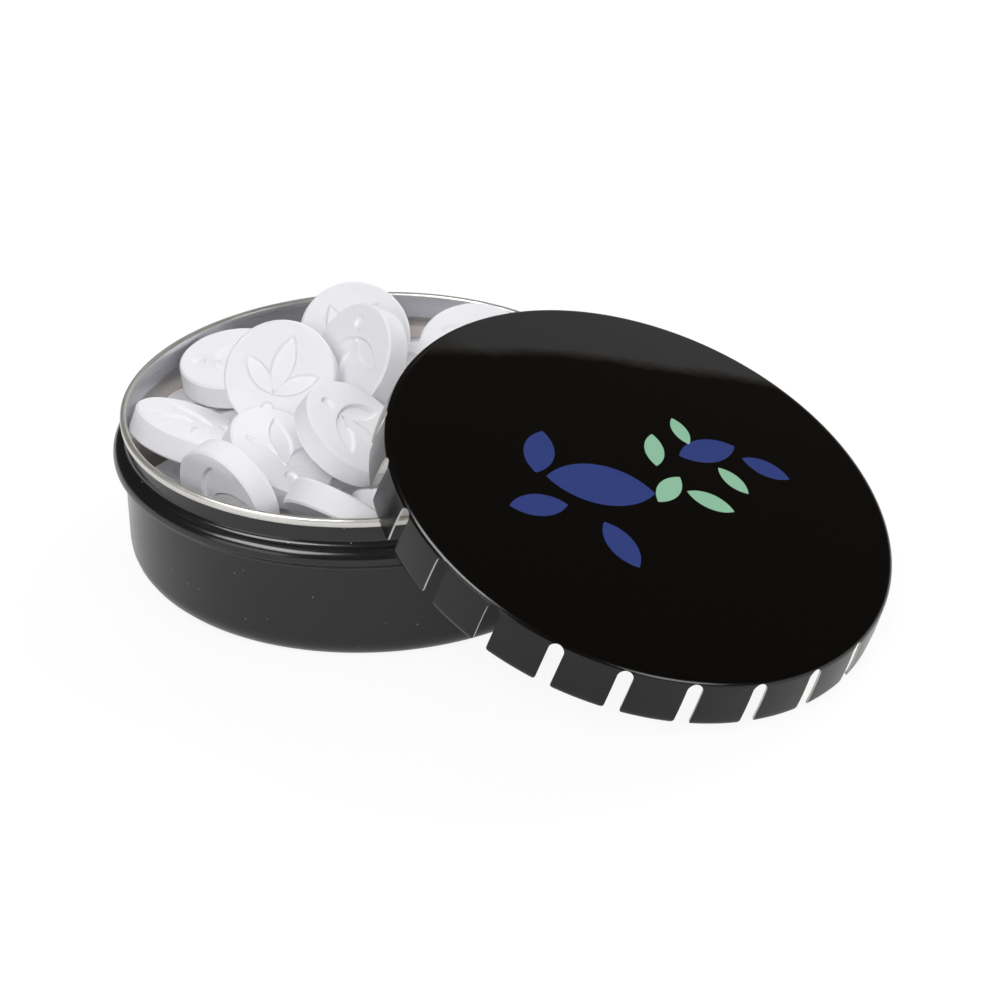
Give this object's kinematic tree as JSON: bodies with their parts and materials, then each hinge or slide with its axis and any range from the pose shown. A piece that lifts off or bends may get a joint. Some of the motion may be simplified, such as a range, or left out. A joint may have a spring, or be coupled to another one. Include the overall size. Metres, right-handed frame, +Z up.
{
  "type": "mint tin",
  "caption": "Round drawn click tin filled with loose pressed mints, its slotted push-on lid taken off and leaned on the rim.",
  "frame": {"origin": "centre of the tin's flat bottom", "axes": "+Z up, along the tin's axis; +X from the tin's axis towards the leaned lid's centre"},
  "size_m": [0.1114, 0.071, 0.0335],
  "materials": {
    "tin_paint": "dark grey satin lacquer with a bare bright rim",
    "lid_paint": "near-black gloss lacquer, bare bright inside",
    "mint": "matt pressed sugar, white"
  },
  "bodies": {
    "tin": {"tin_base": "tin_paint", "mint_01": "mint", "mint_02": "mint", "mint_03": "mint", "mint_04": "mint", "mint_05": "mint", "mint_06": "mint", "mint_07": "mint", "mint_08": "mint", "mint_09": "mint", "mint_10": "mint", "mint_11": "mint", "mint_12": "mint", "mint_13": "mint", "mint_14": "mint", "mint_15": "mint", "mint_16": "mint", "mint_17": "mint", "mint_18": "mint", "mint_19": "mint", "mint_20": "mint", "mint_21": "mint", "mint_22": "mint", "mint_23": "mint", "mint_24": "mint", "mint_25": "mint", "mint_27": "mint", "mint_28": "mint", "mint_29": "mint", "mint_30": "mint", "mint_31": "mint", "mint_33": "mint", "mint_35": "mint"},
    "lid": {"lid": "lid_paint"},
    "mint_26": {"mint_26": "mint"},
    "mint_32": {"mint_32": "mint"},
    "mint_34": {"mint_34": "mint"}
  },
  "joints": [
    {"name": "lid_lift", "type": "slide", "parent": "tin", "child": "lid", "axis": [0.3844, 0, 0.9232], "range_m": [0, 0.06]},
    {"name": "mint_26_lift", "type": "slide", "parent": "tin", "child": "mint_26", "axis": [0.0885, -0.3304, 0.9397], "range_m": [0, 0.02]},
    {"name": "mint_32_lift", "type": "slide", "parent": "tin", "child": "mint_32", "axis": [-0.1445, -0.3971, 0.9063], "range_m": [0, 0.02]},
    {"name": "mint_34_lift", "type": "slide", "parent": "tin", "child": "mint_34", "axis": [0, 0, 1], "range_m": [0, 0.02]}
  ]
}
